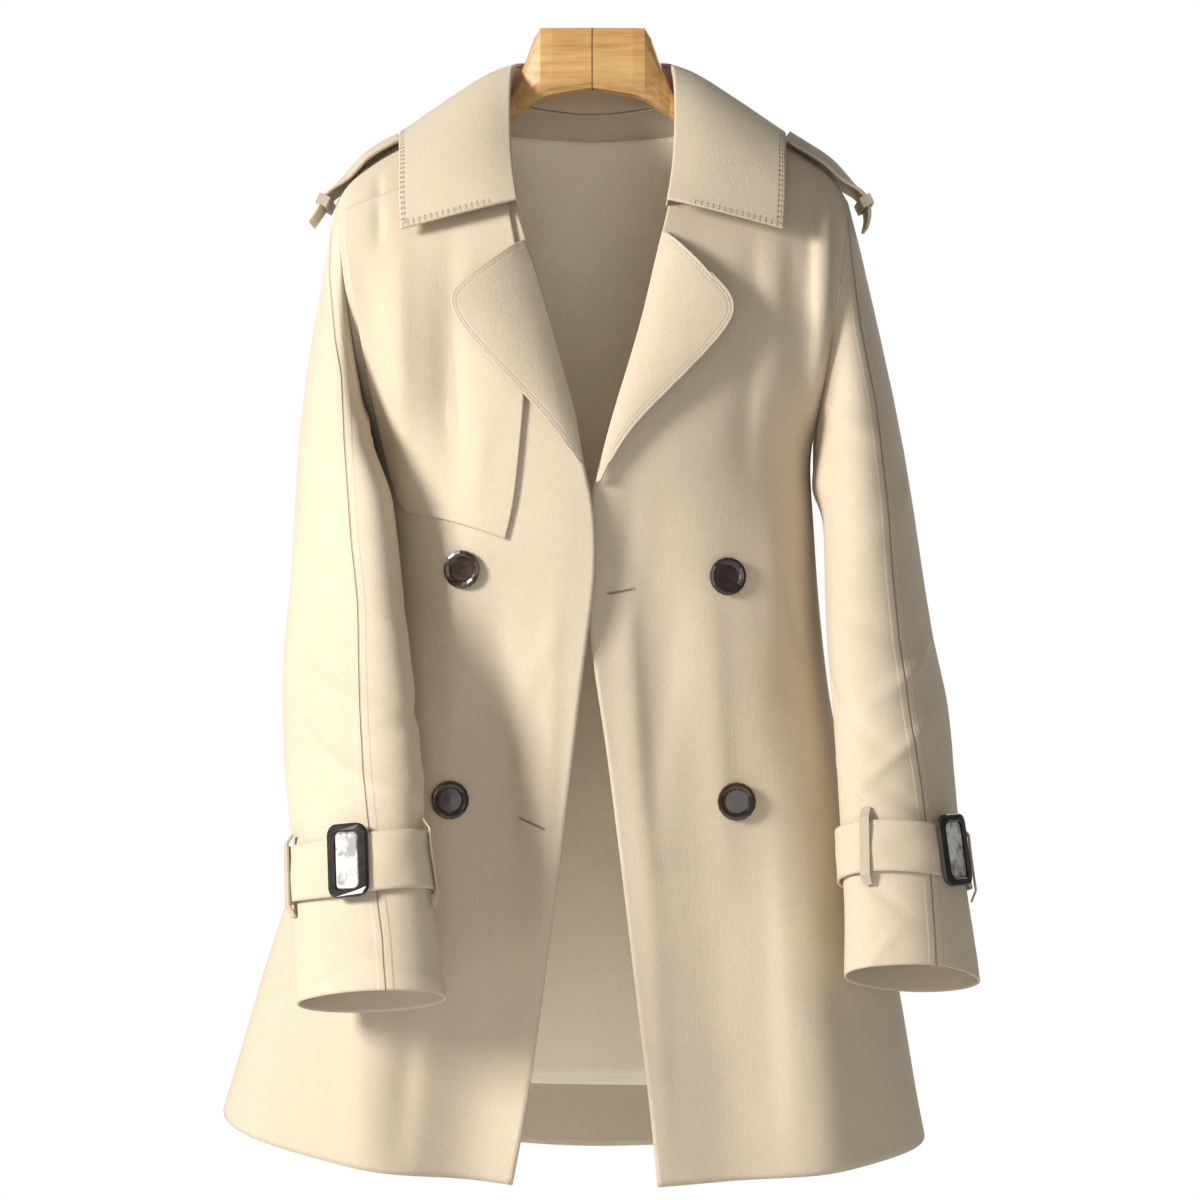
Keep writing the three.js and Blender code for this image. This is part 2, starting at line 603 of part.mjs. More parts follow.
function roundedOutline(path, width, height, radius) {
  const [x, y] = [width / 2, height / 2];
  path.moveTo(-x + radius, -y);
  path.lineTo(x - radius, -y);
  path.absarc(x - radius, -y + radius, radius, -Math.PI / 2, 0);
  path.absarc(x - radius, y - radius, radius, 0, Math.PI / 2);
  path.absarc(-x + radius, y - radius, radius, Math.PI / 2, Math.PI);
  path.absarc(-x + radius, -y + radius, radius, Math.PI, Math.PI * 1.5);
  return path;
}

function bevelled(shape, depth, bevel) {
  const size = { depth: depth - 2 * bevel, bevelSize: bevel, bevelThickness: bevel, bevelOffset: -bevel };
  const options = { ...size, bevelEnabled: true, bevelSegments: 1, curveSegments: 4 };
  return new THREE.ExtrudeGeometry(shape, options).translate(0, 0, bevel);
}

// Moves a flat piece onto its place on a sleeve's strap, bent to the curve and leaning in its plane.
const BUCKLE_AT = {
  [RIGHT]: { at: 0.06, facing: 0.07, lean: 0.12, raise: 0 },
  [LEFT]: { at: 0.045, facing: 0.07, lean: -0.12, raise: 1.2 },
};
function ontoStrap(geometry, side, clear) {
  const { at, facing, lean, raise } = BUCKLE_AT[side];
  const on = strapPoint(side);
  const middle = on(at, 0.5, overSleeve() + clear + raise);
  const out = on(facing, 0.5, overSleeve() + 1).sub(on(facing, 0.5, overSleeve())).normalize();
  const top = on(at, 0.7, overSleeve() + clear + raise).sub(middle);
  const level = top.clone().cross(out).normalize();
  const up = out.clone().cross(level).addScaledVector(level, lean).normalize();
  const across = up.clone().cross(out).normalize();
  const position = geometry.attributes.position;
  for (let i = 0; i < position.count; i++) {
    const [x, y, z] = [position.getX(i), position.getY(i), position.getZ(i)];
    const point = middle.clone().addScaledVector(across, x).addScaledVector(up, y);
    point.addScaledVector(out, z - x ** 2 / (2 * BUCKLE.bend));
    position.setXYZ(i, point.x, point.y, point.z);
  }
  geometry.deleteAttribute("normal");
  geometry.deleteAttribute("uv");
  return mergeVertices(geometry, 1e-4);
}

function buckle(side) {
  const shape = roundedOutline(new THREE.Shape(), BUCKLE.width, BUCKLE.height, BUCKLE.round);
  const { windowWidth, windowHeight, windowRound } = BUCKLE;
  shape.holes.push(roundedOutline(new THREE.Path(), windowWidth, windowHeight, windowRound));
  return ontoStrap(bevelled(shape, BUCKLE.depth, BUCKLE.bevel), side, BUCKLE.clear);
}
function bar(side) {
  const shape = roundedOutline(new THREE.Shape(), BAR.width, BAR.height, BAR.round);
  return ontoStrap(bevelled(shape, BAR.depth, BAR.bevel), side, BAR.clear);
}
add("buckle_right", buckle(RIGHT), buckleBlack);
add("buckle_bar_right", bar(RIGHT), pearl);
add("buckle_left", buckle(LEFT), buckleBlack);
add("buckle_bar_left", bar(LEFT), pearl);

// Epaulettes: stiff straps standing over the shoulder tips, each through a keeper loop.
const EPAULETTE_COLUMNS = ["x", "z", "halfWidth"];
const EPAULETTES = {
  [RIGHT]: rows(
    EPAULETTE_COLUMNS,
    [146, -80, 14],
    [154.5, -84, 16],
    [166, -91, 17.5],
    [172.5, -96, 19],
    [178.7, -103, 20],
    [185.8, -111.5, 21],
    [193, -120, 22],
    [199.5, -129, 22],
    [204, -138, 21],
    [211, -147.5, 19],
  ),
  [LEFT]: rows(
    EPAULETTE_COLUMNS,
    [148, -78, 14],
    [156.5, -83.5, 16],
    [164.5, -88.5, 17.5],
    [175, -95, 19],
    [183, -102, 20],
    [190, -110, 21],
    [197, -119.5, 22],
    [203, -129, 22],
    [207, -140, 21],
    [204, -152, 19],
  ),
};
const EPAULETTE_THICKNESS = 2.6;
const EPAULETTE_ARCH = { [RIGHT]: 7, [LEFT]: 9.2 };
const KEEPER = { place: 0.81, clear: 0.5, thickness: 1.4, height: 8, side: 2, reach: 2 };
function epauletteSurface(side) {
  const table = EPAULETTES[side];
  const base = (s, t) => {
    const slope = (name) => along(table, name, t + 0.01) - along(table, name, t - 0.01);
    const out = vec(-slope("z"), 0, slope("x")).normalize();
    const drop = EPAULETTE_ARCH[side] * (2 * s - 1) ** 2 * (1 - smooth(0.55, 0.75, t));
    const x = along(table, "x", t) - out.x * drop;
    return vec(side * x, (2 * s - 1) * along(table, "halfWidth", t), along(table, "z", t) - out.z * drop);
  };
  return surface(base, -side);
}
const epaulettes = { [RIGHT]: epauletteSurface(RIGHT), [LEFT]: epauletteSurface(LEFT) };
const half = () => EPAULETTE_THICKNESS / 2;
function epaulette(side) {
  return sheet(epaulettes[side].point, steps(4), steps(11), half, EPAULETTE_THICKNESS);
}
add("epaulette_right", epaulette(RIGHT), cloth);
add("epaulette_left", epaulette(LEFT), cloth);

function keeper(side) {
  const { point, normalAt } = epaulettes[side];
  const middle = point(0.5, KEEPER.place);
  const out = normalAt(0.5, KEEPER.place);
  const down = point(0.5, KEEPER.place + 0.02).sub(middle).normalize();
  const width = along(EPAULETTES[side], "halfWidth", KEEPER.place) + KEEPER.side;
  const ring = (grow, height) => {
    const [y, z] = [width + grow, EPAULETTE_THICKNESS / 2 + KEEPER.clear + grow];
    const low = -z - KEEPER.reach;
    const corners = [[-y, z], [0, z + 0.4], [y, z], [y, low], [0, low], [-y, low]];
    const place = ([across, lift]) => middle.clone().add(vec(0, across, 0)).addScaledVector(out, lift);
    return corners.map((corner) => place(corner).addScaledVector(down, height));
  };
  const heights = [-KEEPER.height / 2, KEEPER.height / 2];
  return wall(heights.map((h) => ring(KEEPER.thickness, h)), heights.map((h) => ring(0, h)), true);
}
add("epaulette_keeper_right", keeper(RIGHT), cloth);
add("epaulette_keeper_left", keeper(LEFT), cloth);

// Buttons: turned horn discs with a raised rim, sewn to the fronts.
const BUTTON = { radius: 14, clear: 1 };
const BUTTON_PROFILE = [
  [0, 0],
  [9, 0],
  [13.2, 1.2],
  [14, 2.4],
  [13.4, 3.6],
  [11.6, 4.1],
  [9.6, 3.4],
  [8.4, 2.3],
  [0, 2.1],
];
function button(side, x, z) {
  const { s, t } = placeOn(side, x, z);
  const middle = fronts[side].point(s, t, BUTTON.clear);
  const out = fronts[side].normalAt(s, t);
  const geometry = new THREE.LatheGeometry(BUTTON_PROFILE.map(([r, h]) => new THREE.Vector2(r, h)), 16);
  geometry.deleteAttribute("normal");
  geometry.deleteAttribute("uv");
  const turned = new THREE.Quaternion().setFromUnitVectors(vec(0, 1, 0), out);
  geometry.applyQuaternion(turned).translate(middle.x, middle.y, middle.z);
  return mergeVertices(geometry, 1e-4);
}
add("button_right_upper", button(RIGHT, -93, -407), horn);
add("button_right_lower", button(RIGHT, -103, -573), horn);
add("button_left_upper", button(LEFT, 97, -412), horn);
add("button_left_lower", button(LEFT, 104, -574), horn);

// Hanger: sections from the middle out to each end.
const HANGER = rows(
  ["x", "top", "foot", "y", "halfY"],
  [0, 0, -47, 0, 11],
  [30, 0, -52, 0, 11],
  [39, 0, -55, 1, 11],
  [44, -8, -57.5, 3, 11],
  [50, -24, -61, 5, 10.5],
  [58, -42, -66, 7, 8],
  [66, -59, -72, 8, 8],
  [84, -66, -82, 7, 11.5],
  [103, -74, -91, 6, 13.5],
  [122, -82, -102, 5, 15],
  [141, -91.5, -112, 3, 15.5],
  [158, -101, -121, 2, 15.5],
  [169, -109, -127, 1, 13],
  [175, -115, -128, 1, 9],
  [178, -119.5, -125.5, 1, 5],
);
function hangerRing(row, side) {
  const roundness = mix(0.5, 1, smooth(44, 66, row.x));
  const power = (value) => Math.sign(value) * Math.abs(value) ** roundness;
  return steps(14)
    .slice(0, -1)
    .map((share) => {
      const turn = 2 * Math.PI * (share + 0.5 / 14);
      const z = mix(row.foot, row.top, (power(Math.sin(turn)) + 1) / 2);
      return vec(side * row.x, row.y + row.halfY * power(Math.cos(turn)), z);
    });
}
const hangerRings = [
  ...HANGER.slice(1).reverse().map((row) => hangerRing(row, RIGHT)),
  ...HANGER.map((row) => hangerRing(row, LEFT)),
];
add("hanger", solidThrough(hangerRings), wood);

export default coat;
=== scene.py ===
from math import atan2, exp, hypot, pi, radians, sin

import bmesh
import bpy
import numpy as np
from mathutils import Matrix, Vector, noise
from mathutils.bvhtree import BVHTree


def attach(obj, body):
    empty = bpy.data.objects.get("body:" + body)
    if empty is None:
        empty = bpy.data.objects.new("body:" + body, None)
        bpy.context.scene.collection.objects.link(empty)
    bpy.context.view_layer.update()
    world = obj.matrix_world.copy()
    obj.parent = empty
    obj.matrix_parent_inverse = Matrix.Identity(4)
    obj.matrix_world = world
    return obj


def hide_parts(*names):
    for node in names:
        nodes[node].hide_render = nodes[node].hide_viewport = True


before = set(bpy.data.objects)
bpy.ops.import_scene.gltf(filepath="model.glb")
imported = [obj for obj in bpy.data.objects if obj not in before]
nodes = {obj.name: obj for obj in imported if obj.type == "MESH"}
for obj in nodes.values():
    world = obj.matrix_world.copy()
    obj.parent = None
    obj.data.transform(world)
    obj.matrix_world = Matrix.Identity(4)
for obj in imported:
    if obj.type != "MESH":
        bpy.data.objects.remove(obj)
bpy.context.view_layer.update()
MM = 0.001

# Camera
# The picture is taken level with the coat's waist and straight on, from 2.2 metres away.
camera = bpy.data.objects.new("camera", bpy.data.cameras.new("camera"))
camera.data.sensor_width = 36
camera.data.lens = 88
camera.location = (0.0056, -2.2, -0.429)
camera.rotation_euler = (radians(90), 0, 0)
bpy.context.collection.objects.link(camera)
bpy.context.scene.camera = camera


# Hanger
# A broad-shouldered hanger, turned and sanded from two halves of honey-coloured wood that are
# glued at a mitre in the middle of the neck, under a clear satin varnish.
class Value:
    """A number or colour in a material: arithmetic on it adds Math nodes."""

    def __init__(self, material, socket):
        self.material = material
        self.socket = socket

    def math(self, operation, *others):
        return self.material.node("ShaderNodeMath", {"operation": operation}, [self, *others])

    def __add__(self, other):
        return self.math("ADD", other)

    def __sub__(self, other):
        return self.math("SUBTRACT", other)

    def __mul__(self, other):
        return self.math("MULTIPLY", other)

    def __truediv__(self, other):
        return self.math("DIVIDE", other)

    def __rsub__(self, other):
        return self.material.node("ShaderNodeMath", {"operation": "SUBTRACT"}, [other, self])

    __radd__ = __add__
    __rmul__ = __mul__

    def step(self, low, high):
        """0 below low and 1 above high, with a soft rise between them."""
        settings = {"interpolation_type": "SMOOTHSTEP"}
        inputs = {"Value": self, "From Min": low, "From Max": high}
        return self.material.node("ShaderNodeMapRange", settings, inputs)

    def near(self, middle, width):
        """1 within width of middle, fading to 0 at twice that."""
        return 1 - (self - middle).math("ABSOLUTE").step(width, 2 * width)


class Finish:
    """A material with one Principled shader, and the ways to add nodes to it."""

    def __init__(self, name, **constants):
        self.made = bpy.data.materials.new(name)
        self.made.use_nodes = True
        self.tree = self.made.node_tree
        self.shader = next(n for n in self.tree.nodes if n.type == "BSDF_PRINCIPLED")
        for socket, value in constants.items():
            self.shader.inputs[socket.replace("_", " ")].default_value = value

    def node(self, kind, settings={}, inputs={}, output=0):
        made = self.tree.nodes.new(kind)
        for name, value in settings.items():
            setattr(made, name, value)
        pairs = inputs.items() if isinstance(inputs, dict) else enumerate(inputs)
        for name, value in pairs:
            if isinstance(value, Value):
                self.tree.links.new(value.socket, made.inputs[name])
            else:
                made.inputs[name].default_value = value
        return Value(self, made.outputs[output])

    def place(self):
        return self.node("ShaderNodeTexCoord", output="Object")

    def attribute(self, name, output="Fac"):
        return self.node("ShaderNodeAttribute", {"attribute_name": name}, output=output)

    def stretched(self, vector, x, y, z):
        return self.node("ShaderNodeVectorMath", {"operation": "MULTIPLY"}, [vector, (x, y, z)])

    def noise(self, vector, scale, detail=3, roughness=0.5):
        inputs = {"Vector": vector, "Scale": scale, "Detail": detail, "Roughness": roughness}
        return self.node("ShaderNodeTexNoise", {}, inputs)

    def mix(self, share, first, second, blend="MIX"):
        settings = {"data_type": "RGBA", "blend_type": blend}
        return self.node("ShaderNodeMix", settings, {0: share, 6: first, 7: second}, output=2)

    def bump(self, height, distance, strength=1.0):
        inputs = {"Height": height, "Distance": distance, "Strength": strength}
        return self.node("ShaderNodeBump", {}, inputs)

    def set(self, **links):
        for socket, value in links.items():
            self.tree.links.new(value.socket, self.shader.inputs[socket.replace("_", " ")])
        return self.made


def wood():
    finish = Finish("honey_wood", Coat_Roughness=0.18, IOR=1.5)
    place = finish.place()
    grain = finish.noise(finish.stretched(place, 5, 60, 60), 4, 6, 0.6)
    pores = finish.noise(finish.stretched(place, 30, 700, 700), 2, 2)
    bands = finish.noise(finish.stretched(place, 1.5, 22, 22), 3, 2)
    tone = finish.mix(grain.step(0.3, 0.75), (0.62, 0.36, 0.125, 1), (0.43, 0.21, 0.055, 1))
    tone = finish.mix(bands.step(0.4, 0.7) * 0.5, tone, (0.7, 0.44, 0.17, 1))
    tone = finish.mix(pores.step(0.6, 0.75) * 0.15, tone, (0.25, 0.11, 0.04, 1))
    across = finish.node("ShaderNodeSeparateXYZ", {}, [place])
    mitre = across.near(0.0, 0.0004)
    tone = finish.mix(mitre * 0.75, tone, (0.12, 0.05, 0.02, 1))
    surface = finish.bump(grain * 0.3 + pores * 0.2 - mitre, 0.0004)
    finish.shader.inputs["Coat Weight"].default_value = 0.25
    return finish.set(Base_Color=tone, Roughness=0.42 + grain * 0.14, Normal=surface)


def finish_node(name, material):
    node = nodes[name]
    node.data.materials.clear()
    node.data.materials.append(material)


finish_node("hanger", wood())


# Cloth: the back
# The back is one panel of beige cotton twill, seamed to the fronts at the sides and shoulders and
# to the sleeves at the armholes. It hangs from the shoulders in soft folds that open to the hem.
RAY_START = 2e-5
RAY_REACH = 0.0045
RIM_WIDTH = 0.002
THIN_FACE = 0.0035
RIM_BEND = 0.5
WALL_BEND = 1.0


def altitude(face):
    """The height of a triangle over its longest side, or nearly that of another face."""
    return 2 * face.calc_area() / max(edge.calc_length() for edge in face.edges)


def wall_face(name, towards=None):
    """One face of a CAD cloth wall: the larger one, or the one that looks towards a direction."""
    bm = bmesh.new()
    bm.from_mesh(nodes[name].data)
    bmesh.ops.remove_doubles(bm, verts=bm.verts, dist=1e-6)
    bm.faces.ensure_lookup_table()
    tree = BVHTree.FromBMesh(bm)
    rim = []
    for face in bm.faces:
        middle = face.calc_center_median()
        hit = tree.ray_cast(middle - face.normal * RAY_START, -face.normal, RAY_REACH)
        opposite = -0.93 if altitude(face) < RIM_WIDTH else -0.5
        if hit[0] is None or hit[1].dot(face.normal) > opposite:
            rim.append(face)
    thin = {face for face in bm.faces if altitude(face) < THIN_FACE}
    bmesh.ops.delete(bm, geom=rim, context="FACES")
    thin.intersection_update(bm.faces)
    for face in bm.faces:
        face.tag = False
    islands = []
    for start in bm.faces:
        if start.tag:
            continue
        start.tag = True
        island, queue = [], [start]
        while queue:
            face = queue.pop()
            island.append(face)
            for edge in face.edges:
                limit = RIM_BEND if thin.intersection(edge.link_faces) else WALL_BEND
                bent = len(edge.link_faces) == 2 and edge.calc_face_angle(0) > limit
                for other in edge.link_faces:
                    if not other.tag and not bent:
                        other.tag = True
                        queue.append(other)
        islands.append(island)

    def rank(island):
        if towards is None:
            return sum(face.calc_area() for face in island)
        return sum(face.calc_area() * face.normal.dot(Vector(towards)) for face in island)

    kept = set(max(islands, key=rank))
    bmesh.ops.delete(bm, geom=[f for f in bm.faces if f not in kept], context="FACES")
    bmesh.ops.join_triangles(bm, faces=bm.faces, angle_face_threshold=3, angle_shape_threshold=3)
    return bm


def smoothed(bm, name, levels):
    """The mesh with Catmull-Clark subdivision applied, which keeps its open edges."""
    rough = bpy.data.meshes.new(name + "_rough")
    bm.to_mesh(rough)
    bm.free()
    holder = bpy.data.objects.new(name + "_rough", rough)
    bpy.context.collection.objects.link(holder)
    modifier = holder.modifiers.new("smooth", "SUBSURF")
    modifier.levels = modifier.render_levels = levels
    modifier.boundary_smooth = "PRESERVE_CORNERS"
    mesh = bpy.data.meshes.new_from_object(holder.evaluated_get(bpy.context.evaluated_depsgraph_get()))
    bpy.data.objects.remove(holder)
    bpy.data.meshes.remove(rough)
    return mesh


def crease(x, z, row):
    """The height that a listed fold adds at (x, z): a soft ridge, steeper on one side."""
    x0, z0, x1, z1, width, height = row
    length = hypot(x1 - x0, z1 - z0)
    ex, ez = (x1 - x0) / length, (z1 - z0) / length
    along = ((x - x0) * ex + (z - z0) * ez) / length
    if not -0.15 < along < 1.15:
        return 0.0
    across = (x - x0) * -ez + (z - z0) * ex
    fade = max(0.0, sin(pi * min(1, max(0, (along + 0.15) / 1.3)))) ** 1.2
    side = 0.65 if across > 0 else 1.0
    return height * fade * exp(-((across / (width * side)) ** 2))


def unevenness(point, amount):
    """Slow waves and a little handling in the cloth, the same each time."""
    slow = noise.noise(point * 16)
    fine = noise.noise(point * 42 + Vector((3, 1, 7)))
    return amount * (0.9 * slow + 0.3 * fine) * MM


def edge_distances(mesh):
    """For each point: how far the nearest open edge is, how far along it, and that edge's point."""
    points = np.empty(len(mesh.vertices) * 3)
    mesh.vertices.foreach_get("co", points)
    points = points.reshape(-1, 3)
    used = {}
    for polygon in mesh.polygons:
        for key in polygon.edge_keys:
            used[key] = used.get(key, 0) + 1
    links = {}
    for (a, b), count in used.items():
        if count == 1:
            links.setdefault(a, []).append(b)
            links.setdefault(b, []).append(a)
    starts, ends, lengths, run = [], [], [], 0.0
    seen = set()
    for first in sorted(links):
        if first in seen:
            continue
        here, last = first, None
        while here is not None:
            seen.add(here)
            onward = [n for n in links[here] if n != last and (n not in seen or n == first)]
            step = onward[0] if onward else None
            if step is not None:
                starts.append(points[here])
                ends.append(points[step])
                lengths.append(run)
                run += float(np.linalg.norm(points[step] - points[here]))
            last, here = here, (None if step == first else step)
    starts, ends, lengths = np.array(starts), np.array(ends), np.array(lengths)
    best = np.full(len(points), 9.0)
    along = np.zeros(len(points))
    spot = np.zeros((len(points), 3))
    sides = ends - starts
    square = np.maximum((sides**2).sum(1), 1e-14)
    for low in range(0, len(points), 1500):
        chunk = points[low : low + 1500]
        offset = chunk[:, None] - starts[None]
        share = np.clip((offset * sides).sum(2) / square, 0, 1)
        gap = np.linalg.norm(offset - share[..., None] * sides, axis=2)
        pick = gap.argmin(1)
        rows = np.arange(len(chunk))
        best[low : low + 1500] = gap[rows, pick]
        along[low : low + 1500] = lengths[pick] + share[rows, pick] * np.sqrt(square[pick])
        spot[low : low + 1500] = starts[pick] + share[rows, pick][:, None] * sides[pick]
    return best, along, spot


def beside(line, x, z):
    """How far the point (x, z) lies to the right of a line of points that runs down."""
    for (x0, z0), (x1, z1) in zip(line, line[1:]):
        if z1 <= z <= z0:
            slope = (x1 - x0) / (z1 - z0)
            return (x - x0 - slope * (z - z0)) / hypot(1, slope)
    return 60.0


def cloth_piece(
    name,
    material,
    towards=None,
    levels=3,
    thickness=1.6,
    creases=(),
    ripple=0.7,
    shape=None,
    stitched=None,
    seam=None,
):
    """A cloth piece over its CAD wall: smooth, with folds, edge maps for the stitching, the painted edge
    highlight and the painted seam shade, and a wall.
    """
    mesh = smoothed(wall_face(name, towards), name, levels)
    mesh.name = name + "_cloth"
    distance, along, spot = edge_distances(mesh)
    normals = [v.normal.copy() for v in mesh.vertices]
    for vertex, normal, gap in zip(mesh.vertices, normals, distance):
        x, y, z = vertex.co / MM
        held = min(1.0, gap / (12 * MM))
        height = sum(crease(x, z, row) for row in creases) * MM
        if shape:
            height += shape(x, y, z) * MM
        height += unevenness(vertex.co, ripple)
        vertex.co += normal * height * (0.25 + 0.75 * held)
    sewn = np.array([1.0 if stitched is None or stitched(*(p / MM)) else 0.0 for p in spot])
    seams = np.full(len(spot), 60.0)
    if seam:
        for index, (vertex, normal) in enumerate(zip(mesh.vertices, normals)):
            if normal.y < 0.1:
                seams[index] = beside(seam, vertex.co.x / MM, vertex.co.z / MM)
    for label, values in (("edge", distance / MM), ("along", along / MM), ("sewn", sewn), ("seam", seams)):
        layer = mesh.attributes.new(label, "FLOAT", "POINT")
        layer.data.foreach_set("value", values.astype(np.float32))
    for polygon in mesh.polygons:
        polygon.use_smooth = True
    piece = bpy.data.objects.new(name + "_cloth", mesh)
    bpy.context.collection.objects.link(piece)
    solid = piece.modifiers.new("wall", "SOLIDIFY")
    solid.thickness = thickness * MM
    solid.offset = -1
    solid.use_even_offset = False
    mesh.materials.clear()
    mesh.materials.append(material)
    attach(piece, "root")
    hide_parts(name)
    return piece


def twill(name, light=(0.61, 0.512, 0.375), stitch_at=5.0, thread=0.05, pick=0.0, holes=()):
    """Beige cotton twill: ribs, uneven yarns, seams, top-stitching and buttonholes, with painted shade in
    stitch grooves, seam cracks, pick-stitch dimples and buttonholes, and a painted highlight along the
    pressed edges.
    """
    finish = Finish(name, Sheen_Weight=0.1, Sheen_Roughness=0.5, Specular_IOR_Level=0.22)
    place = finish.place()
    dark = tuple(c * 0.8 for c in light)
    pale = tuple(min(1, c * 1.07) for c in light)
    # shade is the same cloth at less than half its brightness, used below as painted shade in recesses
    shade = tuple(c * 0.45 for c in light) + (1,)
    clouds = finish.noise(place, 9, 3)
    yarns = finish.noise(finish.stretched(place, 1, 1, 0.35), 900, 2)
    slubs = finish.noise(finish.stretched(place, 1, 1, 0.06), 420, 2)
    tone = finish.mix(clouds.step(0.3, 0.7), (*light, 1), (*pale, 1))
    tone = finish.mix(yarns.step(0.35, 0.75) * 0.3, tone, (*dark, 1))
    tone = finish.mix(slubs.step(0.55, 0.8) * 0.25, tone, (*pale, 1))
    parts = [finish.node("ShaderNodeSeparateXYZ", {}, [place], output=i) for i in range(3)]
    ribs = ((parts[0] + parts[1] * 0.7 + parts[2]) * (2 * pi / 0.0016)).math("SINE")
    edge = finish.attribute("edge")
    along = finish.attribute("along")
    sewn = finish.attribute("sewn")
    height = ribs * 0.12 + yarns * 0.4 + slubs * 0.3
    line = edge.near(stitch_at, 0.4) * sewn
    groove = edge.near(stitch_at, 1.2) * sewn
    dash = (along * (2 * pi / 3.6)).math("SINE").step(-0.75, -0.35)
    # Painted shade: the groove along the top-stitching is darkened
    tone = finish.mix(groove * (0.5 * thread), tone, shade)
    tone = finish.mix(line * dash * thread, tone, tuple(min(1, c * 1.12) for c in light) + (1,))
    height = height - groove * 0.35 + line * dash * 0.45
    if pick:
        # Painted shade in the dimples of the short pick stitches
        mark = edge.near(stitch_at, 1.3) * (along * (2 * pi / 4.4)).math("SINE").step(0.55, 0.8) * sewn
        tone = finish.mix(mark * pick, tone, shade)
        height = height - mark * 2.0
    seam = finish.attribute("seam").math("ABSOLUTE")
    crack = 1 - seam.step(0.2, 0.8)
    # Painted shade darkens the crack along the seam
    tone = finish.mix(crack * 0.5, tone, shade)
    height = height - crack * 2.0 + seam.near(3.0, 1.6) * 0.7
    for x0, z0, x1, z1 in holes:
        middle, half = (x0 + x1) / 2 * MM, (x1 - x0) / 2 * MM
        off = (parts[2] - (parts[0] - middle) * ((z1 - z0) / (x1 - x0)) - (z0 + z1) / 2 * MM).math("ABSOLUTE")
        reach = (parts[0] - middle).math("ABSOLUTE")
        front = 1 - parts[1].step(-0.02, 0.0)
        bound = (1 - off.step(0.0009, 0.0014)) * (1 - reach.step(half, half + 0.0008)) * front
        slit = (1 - off.step(0.0001, 0.0005)) * (1 - reach.step(half - 0.0014, half - 0.0008)) * front
        worked = (parts[0] * (2 * pi / 0.0009)).math("SINE").step(-0.6, 0.4)
        # Painted shade round each buttonhole's worked edge, and a near-black painted shadow in its cut slit
        tone = finish.mix(bound * 0.25, tone, shade)
        tone = finish.mix(slit * 0.6, tone, (0.08, 0.055, 0.03, 1))
        height = height + bound * (0.5 + worked * 0.8) - slit * 2.5
    # Painted highlight: the cloth is paler within about 1.4 mm of its open edges
    rim = 1 - edge.step(0.0, 1.4)
    tone = finish.mix(rim * 0.25, tone, (*pale, 1))
    return finish.set(Base_Color=tone, Roughness=0.8 + yarns * 0.15, Normal=finish.bump(height, 0.0005))


coat_twill = twill("beige_twill")


def nowhere(x, y, z):
    return False


BACK_FOLDS = [
    (-120, -200, -60, -330, 14, 2.0),
    (110, -190, 55, -330, 13, 1.8),
    (-30, -250, -22, -420, 18, -1.5),
    (150, -330, 120, -440, 10, 2.2),
    (-150, -320, -118, -450, 10, 2.4),
    (40, -500, 60, -840, 20, 2.5),
    (-80, -520, -110, -850, 18, -2.5),
]
back = cloth_piece(
    "back", coat_twill, towards=(0, 1, 0), creases=BACK_FOLDS, stitched=lambda x, y, z: z < -780
)


# Back lining
# A smooth pale lining lies inside the back, with soft pleats for ease, and is sewn in round the
# seams. It ends above the turned-up hem, so that the twill shows below it.
lining_satin = twill("lining_satin", light=(0.95, 0.845, 0.66), thread=0.05)
LINING_FOLDS = [(-6, -200, -2, -800, 9, 1.6), (60, -420, 74, -820, 14, -1.6), (-58, -400, -80, -820, 14, 1.8)]
lining = cloth_piece(
    "back_lining",
    lining_satin,
    towards=(0, -1, 0),
    levels=2,
    thickness=0.8,
    creases=LINING_FOLDS,
    ripple=0.4,
    stitched=lambda x, y, z: z < -700,
)


# Fronts
# Two fronts of the same twill, cut with a lap for the double row of buttons. The right one lies over
# the left at the waist, and both swing apart below it in long soft folds.
front_twill = twill("front_twill", holes=[(10.6, -424.7, 30.4, -421), (-53, -586.5, -34, -593.7)])
RIGHT_FOLDS = [
    (-158, -115, -155, -165, 5, -2.0),
    (-152, -470, -170, -840, 18, 3.0),
    (-26, -440, -40, -840, 9, 2.4),
    (-72, -430, -58, -700, 22, -7.0),
    (-100, -430, -98, -640, 14, 3.4),
    (-122, -640, -140, -850, 14, -3.5),
    (-128, -450, -112, -600, 12, 2.0),
    (-20, -440, -60, -520, 10, 1.2),
]
LEFT_FOLDS = [
    (24, -420, 40, -640, 12, 3.0),
    (86, -440, 96, -640, 16, 2.6),
    (160, -130, 157, -285, 7, -3.4),
    (172, -122, 168, -290, 8, 3.6),
    (118, -170, 112, -330, 10, -2.6),
    (133, -360, 138, -470, 12, 2.4),
    (28, -350, 16, -470, 14, -2.4),
    (148, -440, 178, -840, 16, 3.0),
    (140, -403, 153, -470, 6, -3.2),
    (60, -430, 40, -600, 16, -2.0),
    (40, -600, 52, -840, 14, 1.8),
    (120, -560, 132, -840, 16, -2.4),
]


front_right = cloth_piece("front_right", front_twill, (0, -1, 0), creases=RIGHT_FOLDS, stitched=nowhere)
front_left = cloth_piece("front_left", front_twill, (0, -1, 0), creases=LEFT_FOLDS, stitched=nowhere)


# Storm flap
# A second layer of the twill over the right chest, sewn in at the shoulder and armhole. Its lower
# edge hangs free over the front, with a long trough down its middle.
FLAP_FOLDS = [
    (-157, -128, -155, -172, 5, -2.2),
    (-103, -170, -100, -360, 13, -3.2),
    (-140, -165, -137, -350, 14, 2.8),
    (-76, -300, -84, -360, 10, 1.2),
]


storm_flap = cloth_piece("storm_flap", coat_twill, (0, -1, 0), creases=FLAP_FOLDS, stitched=nowhere)


